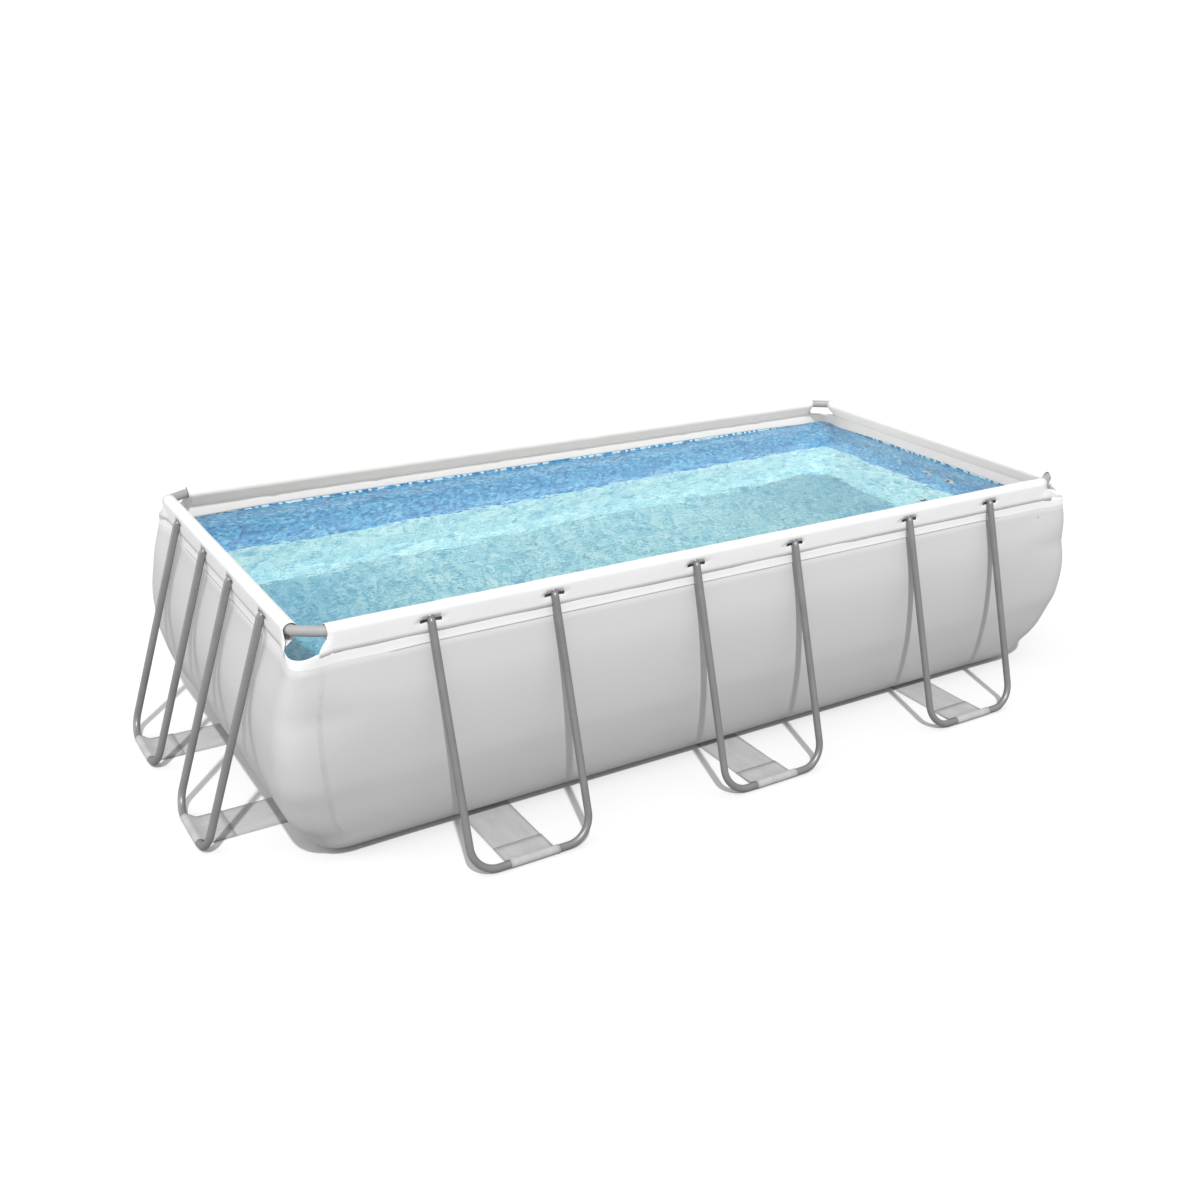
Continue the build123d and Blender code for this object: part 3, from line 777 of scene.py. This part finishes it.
def flare_at(side, s):
    """How far the weld stands out near a corner, beyond its place along the middle of the side."""
    flares = curve_through(LEVELS, WELD_Z)
    long_side = side in ("front", "back")
    flare = flares[3] - flares[1] if long_side else flares[2] - flares[0]
    if not long_side:
        flare += 0.008 if side == "right" else -0.008
    return flare * smooth(1 - (SIDES[side][3] + BAND_OUT - abs(s)) / CORNER_REACH)


def build_strip():
    """The white strip below the weld, right round the pool, as one thin closed sheet."""
    levels = [0.0, 0.12, 0.3, 0.5, 0.65, 0.75, 0.85, 1.0]
    low = BAND_BOTTOM - 0.004
    verts, uvs = [], []
    for layer in (-0.0012, SHEET + 0.0004):
        for share in levels:
            base = low + (WELD_Z - low) * share
            dip = 0.0018 * smooth((share - 0.6) / 0.4) if layer < 0 else 0.0
            moved = offset_loop(ring_points(base), layer + dip)
            run = 0.0
            for i, p in enumerate(moved):
                run += (p - moved[i - 1]).length if i else 0.0
                from_corner = max(HALF_X - abs(p.x), HALF_Y - abs(p.y))
                sag = 0.012 * (1 - share) * smooth(1 - from_corner / 0.6)
                wave = 0.0010 * noise.noise(Vector((p.x * 6, p.y * 6, base * 9)))
                normal = p.normalized()
                height = base - sag - corner_drop(from_corner)
                verts.append(Vector((p.x + normal.x * wave, p.y + normal.y * wave, height)))
                uvs.append((run, base))
    columns = len(verts) // (2 * len(levels))
    rows = len(levels)
    inner = rows * columns
    faces = grid_faces(rows, columns, closed=True)
    faces += [tuple(v + inner for v in reversed(f)) for f in faces]
    faces += rim_faces(rows, columns, inner)
    girth = max(u for u, _ in uvs)
    piece = make_mesh("band_strip", verts, faces, [BAND_WHITE], uvs=uvs, girth=girth)
    return piece


# ---------------------------------------------------------------- water
def build_water():
    """The water's surface, just below the white band."""
    z = BAND_BOTTOM - 0.014
    edge = [Vector((*p, z)) for p in ring_points(z, SHEET + 0.0008)]
    columns = len(edge)
    shares = [1.0, 0.97, 0.85, 0.6, 0.3, 0.05]
    verts = [Vector((p.x * share, p.y * share, z)) for share in shares for p in edge]
    faces = grid_faces(len(shares), columns, closed=True)
    faces.append(tuple(range(len(verts) - columns, len(verts))))
    return make_mesh("water", verts, faces, [WATER])


# ---------------------------------------------------------------- frame
def build_support(side, name):
    """A U-shaped support: both legs up into the rail, and the foot bar between them."""
    centre, half, foot, bar_z = support_places(side, name)
    corner = half - (0.1565 if side in ("front", "back") else 0.1155)
    direction = Vector((KNEE_OUT, KNEE_Z - RAIL_Z)).normalized()
    top = direction * 0.030
    points = [
        at(side, centre - half, top.x, RAIL_Z + top.y),
        at(side, centre - half, KNEE_OUT, KNEE_Z),
        at(side, centre - half, foot, bar_z),
        at(side, centre + half, foot, bar_z),
        at(side, centre + half, KNEE_OUT, KNEE_Z),
        at(side, centre + half, top.x, RAIL_Z + top.y),
    ]
    path = fillet(points, [0.025, corner, corner, 0.025], 14)
    piece = sweep(f"support_tube_{side}_{name}", path, LEG_R, STEEL, 32)
    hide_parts(f"support_{side}_{name}")
    return piece


def strap_line(bar, bar_z, rises):
    """(across, height) of the strap's middle line from one stitched end to the other."""
    wrap = 0.0173
    near = []
    for i in range(4):
        near.append((bar - 0.150 + 0.035 * i, 0.0048 + 0.0005 * i))
    for i in range(13):
        angle = math.radians(125 - i * 215 / 12)
        near.append((bar + wrap * math.cos(angle), bar_z + wrap * math.sin(angle)))
    near.append((bar - 0.045, 0.0015))
    near += [(x, z + 0.001) for x, z in rises]
    return near + [(-x, z) for x, z in reversed(near)]


def build_strap(name, side, centre, width, rises):
    """A webbing strap with a stitched loop round each support's bar."""
    _, _, foot, bar_z = support_places(side, SUPPORTS[side][0])
    bar = SIDES[side][2] + foot
    line = [Vector(p) for p in strap_line(bar, bar_z, rises)]
    fine = [line[0]]
    for a, b in zip(line, line[1:]):
        parts = max(1, int((b - a).length / 0.08))
        fine += [a.lerp(b, i / parts) for i in range(1, parts + 1)]
    across = 10
    along, outwards = SIDES[side][0], SIDES[side][1]
    verts, uvs = [], []
    for layer in (0.0009, -0.0009):
        run = 0.0
        for i, p in enumerate(fine):
            run += (p - fine[i - 1]).length if i else 0.0
            ahead = (fine[min(i + 1, len(fine) - 1)] - fine[max(i - 1, 0)]).normalized()
            normal = Vector((-ahead.y, ahead.x))
            for k in range(across + 1):
                t = k / across - 0.5
                wave = 0.0012 * noise.noise(Vector((p.x * 7, t * 3 + centre, 0.3)))
                edge = 0.0015 * noise.noise(Vector((p.x * 3, centre * 5, 1.7)))
                place = along * (centre + width * t + edge) + outwards * (p.x + normal.x * layer)
                verts.append(place + UP * max(p.y + normal.y * layer + max(wave, 0), 0.0002))
                uvs.append((width * t, run))
    rows, columns = len(fine), across + 1
    inner = rows * columns
    top = grid_faces(rows, columns)
    faces = [tuple(reversed(f)) for f in top] + [tuple(v + inner for v in f) for f in top]
    for i in range(rows - 1):
        for j in (0, across):
            a, b = i * columns + j, (i + 1) * columns + j
            quad = (a, b, inner + b, inner + a)
            faces.append(quad if j else tuple(reversed(quad)))
    for i in (0, rows - 1):
        for j in range(across):
            a = i * columns + j
            quad = (a, a + 1, inner + a + 1, inner + a)
            faces.append(quad if i == 0 else tuple(reversed(quad)))
    piece = make_mesh(f"webbing_{name}", verts, faces, [STRAP], uvs=uvs)
    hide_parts(name)
    return piece


def ride_pool(piece):
    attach(piece, "pool")


for side, names in SUPPORTS.items():
    for name in names:
        ride_pool(build_support(side, name))

wall, girth, climb = build_wall()
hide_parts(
    "wall_front", "wall_back", "wall_left", "wall_right",
    "wall_corner_front_left", "wall_corner_front_right",
    "wall_corner_back_left", "wall_corner_back_right",
)
ride_pool(wall)
floor = build_floor()
_low, _high = node_box("floor_sheet")
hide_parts("floor_sheet")
ride_pool(floor)
for side in SIDES:
    pocket = build_pocket(side)
    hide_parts(f"sleeve_{side}")
    ride_pool(pocket)
ride_pool(build_strip())
ride_pool(build_water())

for name in ("left", "middle", "right"):
    centre = support_places("front", name)[0]
    low, high = node_box(f"strap_across_{name}")
    rises = [(0.579, 0.0), (0.519, 0.0028)]  # over the straps that run along the pool
    ride_pool(build_strap(f"strap_across_{name}", "front", centre, high.x - low.x, rises))
for name in ("front", "back"):
    low, high = node_box(f"strap_along_{name}")
    middle = (low.y + high.y) / 2
    ride_pool(build_strap(f"strap_along_{name}", "right", middle, high.y - low.y, []))

FINISH = [
    ("rail_pins", PIN), ("rail_", STEEL), ("corner_joint", JOINT), ("port_gasket", RUBBER),
    ("drain_gasket", RUBBER), ("drain_cap_seal", RUBBER), ("port_stopper", PLUG), ("drain_plug", PLUG),
    ("drain_cap", PLUG), ("pump_port", FITTING), ("port_nut", FITTING), ("drain_body", FITTING),
]
for name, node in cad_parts.items():
    for start, material in FINISH:
        if name.startswith(start):
            for slot in node.material_slots:
                slot.link = "OBJECT"
                slot.material = material
            break

# ---------------------------------------------------------------- floor, light, camera
ground_material = Nodes("studio_floor")
seen_by_eye = ground_material.add("ShaderNodeLightPath").outputs["Is Camera Ray"]
pale = ground_material.mix(seen_by_eye, (0.40, 0.40, 0.40), (0.86, 0.86, 0.86))
ground_material.wire(colour=pale, rough=0.9)
ground_material.shader.inputs["Specular IOR Level"].default_value = 0.0
ground = make_mesh(
    "studio_ground",
    [(-150, -150, 0), (150, -150, 0), (150, 150, 0), (-150, 150, 0)],
    [(0, 1, 2, 3)],
    [ground_material.material],
)

world = bpy.data.worlds.new("studio")
SCENE.world = world
world.use_nodes = True
sky = world.node_tree.nodes["Background"]
sky.inputs["Color"].default_value = (1.0, 1.0, 1.0, 1.0)
sky.inputs["Strength"].default_value = 0.60
seen = world.node_tree.nodes.new("ShaderNodeBackground")
seen.inputs["Color"].default_value = (1.0, 1.0, 1.0, 1.0)
seen.inputs["Strength"].default_value = 1.05
path = world.node_tree.nodes.new("ShaderNodeLightPath")
mixer = world.node_tree.nodes.new("ShaderNodeMixShader")
world.node_tree.links.new(path.outputs["Is Camera Ray"], mixer.inputs[0])
world.node_tree.links.new(sky.outputs[0], mixer.inputs[1])
world.node_tree.links.new(seen.outputs[0], mixer.inputs[2])
world.node_tree.links.new(mixer.outputs[0], world.node_tree.nodes["World Output"].inputs[0])
SCENE.view_settings.view_transform = "Standard"


def sun(name, direction, strength, angle):
    """A far lamp that shines along direction."""
    lamp = bpy.data.lights.new(name, "SUN")
    lamp.energy = strength
    lamp.angle = math.radians(angle)
    holder = bpy.data.objects.new(name, lamp)
    holder.rotation_mode = "QUATERNION"
    holder.rotation_quaternion = Vector(direction).to_track_quat("-Z", "Y")
    SCENE.collection.objects.link(holder)


sun("key", (0.30, 0.70, -1.0), 2.5, 2.0)
sun("fill_left", (1.0, -0.45, -0.35), 0.85, 40)

camera_data = bpy.data.cameras.new("camera")
camera_data.sensor_width = 36.0
camera_data.lens = 38.83
camera_data.shift_x = -0.0246
camera_data.shift_y = 0.0316
camera_data.clip_end = 500.0
camera = bpy.data.objects.new("camera", camera_data)
SCENE.collection.objects.link(camera)
azimuth, elevation, roll = math.radians(32.803), math.radians(-24.194), math.radians(1.465)
forward = Vector(
    (
        math.cos(elevation) * math.sin(azimuth),
        math.cos(elevation) * math.cos(azimuth),
        math.sin(elevation),
    )
)
right = forward.cross(UP).normalized()
above = right.cross(forward)
turned_right = right * math.cos(roll) + above * math.sin(roll)
turned_above = above * math.cos(roll) - right * math.sin(roll)
axes = Matrix((turned_right, turned_above, -forward)).transposed().to_4x4()
camera.matrix_world = Matrix.Translation((-3.280, -5.115, 2.941)) @ axes
SCENE.camera = camera
